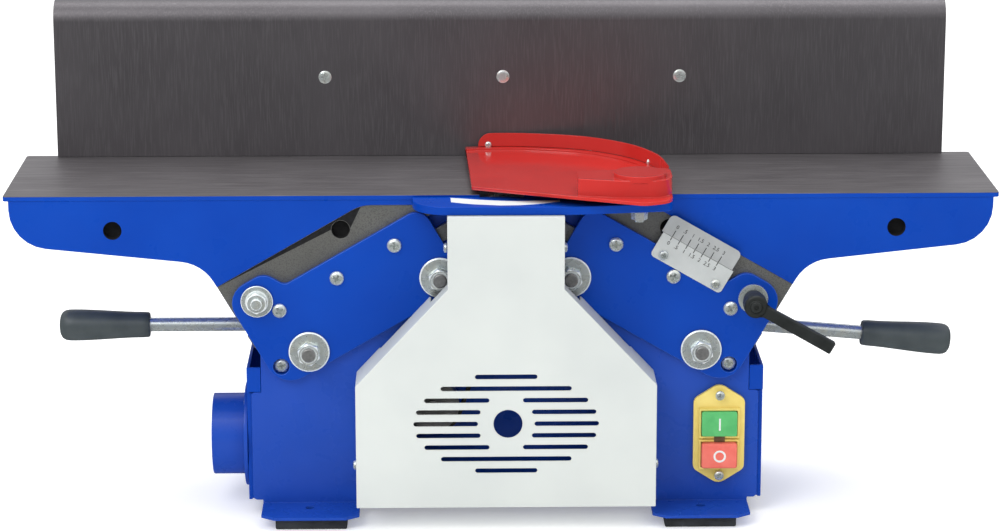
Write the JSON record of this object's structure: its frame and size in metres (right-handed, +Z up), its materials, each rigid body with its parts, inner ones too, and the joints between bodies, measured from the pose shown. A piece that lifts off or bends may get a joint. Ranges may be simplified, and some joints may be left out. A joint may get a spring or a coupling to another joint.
{
  "type": "benchtop surface planer",
  "caption": "Benchtop surface planer with two sloping cast tables, a leaning fence, a swinging cutterhead guard, a belt cover and a sheet metal body.",
  "frame": {"origin": "middle of the floor area, on the surface that the rubber feet stand on", "axes": "+X along the tables from outfeed to infeed, +Y from the front with the switch to the rear, +Z up"},
  "size_m": [0.8936, 0.311, 0.4497],
  "materials": {
    "blue_paint": "satin blue powder coat",
    "cover_paint": "pale grey satin paint",
    "machined_iron": "ground grey iron on top, blue paint on the sides",
    "fence_metal": "dark brushed finish",
    "guard_red": "glossy red paint",
    "zinc": "zinc plated",
    "steel": "turned bright steel",
    "rubber": "matte black",
    "black_plastic": "fine grained",
    "yellow_plastic": "satin",
    "green_plastic": "satin",
    "red_plastic": "satin",
    "scale_plate": "brushed"
  },
  "bodies": {
    "base": {"front_panel": "blue_paint", "rear_panel": "blue_paint", "front_bearing": "steel", "rear_bearing": "steel", "outfeed_end_panel": "blue_paint", "infeed_end_panel": "blue_paint", "belt_cover": "cover_paint", "drive_belt": "rubber", "motor": "black_plastic", "chip_chute": "blue_paint", "dust_port": "blue_paint", "switch_front": "yellow_plastic", "fixed_scale": "scale_plate", "guard_shelf": "blue_paint", "guard_pivot": "zinc", "fence_bracket": "blue_paint", "fence_hinge_pin": "zinc", "outfeed_lower_bolt": "zinc", "outfeed_upper_bolt": "zinc", "infeed_lower_bolt": "zinc", "infeed_upper_bolt": "zinc", "outfeed_front_foot": "rubber", "outfeed_front_plate": "blue_paint", "outfeed_front_gib": "steel", "outfeed_rear_foot": "rubber", "outfeed_rear_plate": "blue_paint", "outfeed_rear_gib": "steel", "infeed_front_foot": "rubber", "infeed_front_plate": "blue_paint", "infeed_front_gib": "steel", "infeed_rear_foot": "rubber", "infeed_rear_plate": "blue_paint", "infeed_rear_gib": "steel"},
    "outfeed_table": {"outfeed_table": "machined_iron", "outfeed_lock_stud": "zinc"},
    "infeed_table": {"infeed_table": "machined_iron", "infeed_lock_stud": "zinc", "moving_scale": "scale_plate"},
    "outfeed_lever": {"outfeed_lever": "zinc", "outfeed_grip": "black_plastic"},
    "infeed_lever": {"infeed_lever": "zinc", "infeed_grip": "black_plastic"},
    "clamp_lever": {"clamp_lever": "black_plastic"},
    "guard": {"guard_plate": "guard_red", "guard_wing": "guard_red"},
    "fence": {"fence_panel": "fence_metal", "fence_brace": "blue_paint"},
    "tilt_knob": {"tilt_knob": "black_plastic"},
    "cutterhead": {"cutter_block": "steel", "knife_1": "steel", "knife_2": "steel", "knife_3": "steel", "cutter_pulley": "steel"},
    "motor_rotor": {"motor_shaft": "steel", "motor_pulley": "steel"},
    "start_button": {"start_button": "green_plastic"},
    "stop_button": {"stop_button": "red_plastic"}
  },
  "joints": [
    {"name": "outfeed_slide", "type": "slide", "parent": "base", "child": "outfeed_table", "axis": [-0.866, 0, -0.5], "range_m": [0, 0.006]},
    {"name": "infeed_slide", "type": "slide", "parent": "base", "child": "infeed_table", "axis": [0.866, 0, -0.5], "range_m": [0, 0.006]},
    {"name": "outfeed_lever_turn", "type": "hinge", "parent": "base", "child": "outfeed_lever", "pos_m": [-0.2022, -0.00005, 0.1595], "axis": [0, 1, 0], "range_deg": [0, 30.01]},
    {"name": "infeed_lever_turn", "type": "hinge", "parent": "base", "child": "infeed_lever", "pos_m": [0.2078, -0.00005, 0.1595], "axis": [0, -1, 0], "range_deg": [0, 30.01]},
    {"name": "clamp_turn", "type": "hinge", "parent": "infeed_table", "child": "clamp_lever", "pos_m": [0.22658, -0.10755, 0.20559], "axis": [0, -1, 0], "range_deg": [0, 90]},
    {"name": "guard_swing", "type": "hinge", "parent": "base", "child": "guard", "pos_m": [0.1218, -0.11355, 0.3064], "axis": [0, 0, 1], "range_deg": [0, 65], "stiffness_Nm_per_rad": 0.35, "springref_deg": -28.65},
    {"name": "fence_tilt", "type": "hinge", "parent": "base", "child": "fence", "pos_m": [0.0028, 0.10045, 0.309], "axis": [-1, 0, 0], "range_deg": [0, 45]},
    {"name": "tilt_lock_turn", "type": "hinge", "parent": "fence", "child": "tilt_knob", "pos_m": [0.0438, 0.14245, 0.309], "axis": [1, 0, 0], "continuous": true},
    {"name": "cutter_spin", "type": "hinge", "parent": "base", "child": "cutterhead", "pos_m": [0.0028, -0.00005, 0.272], "axis": [0, 1, 0], "continuous": true},
    {"name": "motor_spin", "type": "hinge", "parent": "base", "child": "motor_rotor", "pos_m": [-0.0632, -0.08755, 0.115], "axis": [0, 1, 0], "continuous": true},
    {"name": "start_press", "type": "slide", "parent": "base", "child": "start_button", "axis": [0, 1, 0], "range_m": [0, 0.003], "stiffness_N_per_m": 400, "springref_m": -0.002},
    {"name": "stop_press", "type": "slide", "parent": "base", "child": "stop_button", "axis": [0, 1, 0], "range_m": [0, 0.003], "stiffness_N_per_m": 400, "springref_m": -0.002}
  ],
  "couplings": [
    {"joint": "outfeed_lever_turn", "follows": "outfeed_slide", "rad_per_m": 87.266},
    {"joint": "infeed_lever_turn", "follows": "infeed_slide", "rad_per_m": 87.266},
    {"joint": "motor_spin", "follows": "cutter_spin", "ratio": 0.60417}
  ]
}
